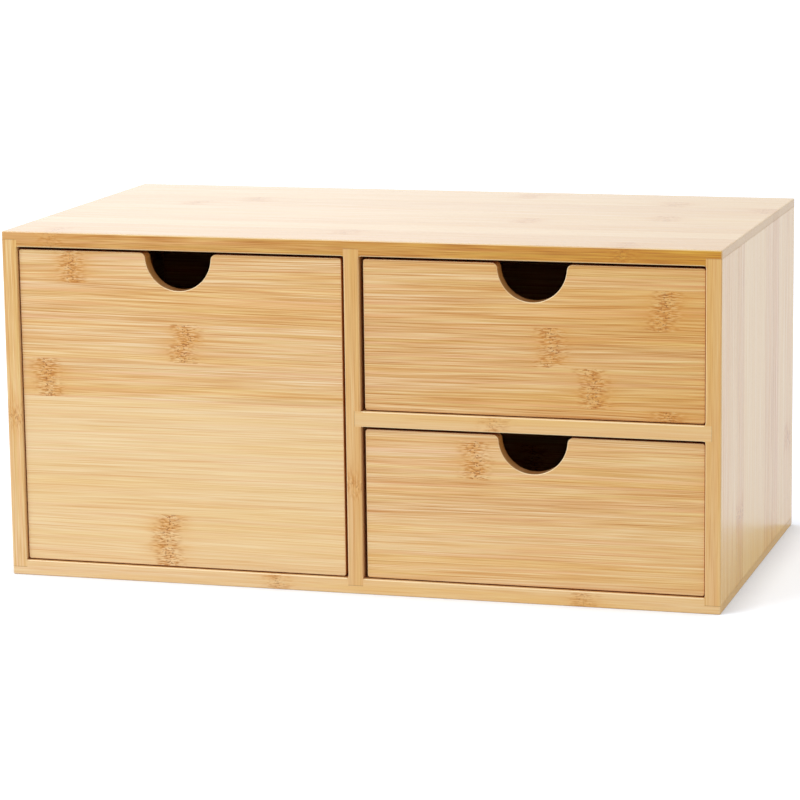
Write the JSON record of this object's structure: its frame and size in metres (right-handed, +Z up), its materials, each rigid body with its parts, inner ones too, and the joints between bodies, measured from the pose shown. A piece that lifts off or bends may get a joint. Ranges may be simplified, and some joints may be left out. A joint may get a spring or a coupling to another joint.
{
  "type": "desktop mini drawers",
  "caption": "Small bamboo desk cabinet with a large square drawer beside stacked small drawers, each pulled by a half-round finger notch, for crafts and small parts.",
  "frame": {"origin": "on the surface the cabinet stands on, under the middle of the case", "axes": "+X to the right along the front, +Y from the drawer fronts to the rear, +Z up"},
  "size_m": [0.33, 0.182, 0.159],
  "materials": {
    "case_bamboo": "satin clear lacquer over laminated bamboo",
    "front_bamboo": "satin clear lacquer over laminated bamboo",
    "drawer_bamboo": "sanded laminated bamboo, thin lacquer",
    "thin_bamboo": "sanded thin bamboo board"
  },
  "bodies": {
    "case": {"top_panel": "case_bamboo", "bottom_panel": "case_bamboo", "left_side_panel": "case_bamboo", "right_side_panel": "case_bamboo", "centre_divider": "case_bamboo", "middle_shelf": "case_bamboo", "back_panel": "thin_bamboo"},
    "large_drawer": {"large_drawer_front": "front_bamboo", "large_drawer_left_side": "drawer_bamboo", "large_drawer_right_side": "drawer_bamboo", "large_drawer_back": "drawer_bamboo", "large_drawer_bottom": "thin_bamboo"},
    "upper_drawer": {"upper_drawer_front": "front_bamboo", "upper_drawer_left_side": "drawer_bamboo", "upper_drawer_right_side": "drawer_bamboo", "upper_drawer_back": "drawer_bamboo", "upper_drawer_bottom": "thin_bamboo"},
    "lower_drawer": {"lower_drawer_front": "front_bamboo", "lower_drawer_left_side": "drawer_bamboo", "lower_drawer_right_side": "drawer_bamboo", "lower_drawer_back": "drawer_bamboo", "lower_drawer_bottom": "thin_bamboo"}
  },
  "joints": [
    {"name": "large_drawer_slide", "type": "slide", "parent": "case", "child": "large_drawer", "axis": [0, -1, 0], "range_m": [0, 0.13]},
    {"name": "upper_drawer_slide", "type": "slide", "parent": "case", "child": "upper_drawer", "axis": [0, -1, 0], "range_m": [0, 0.13]},
    {"name": "lower_drawer_slide", "type": "slide", "parent": "case", "child": "lower_drawer", "axis": [0, -1, 0], "range_m": [0, 0.13]}
  ]
}
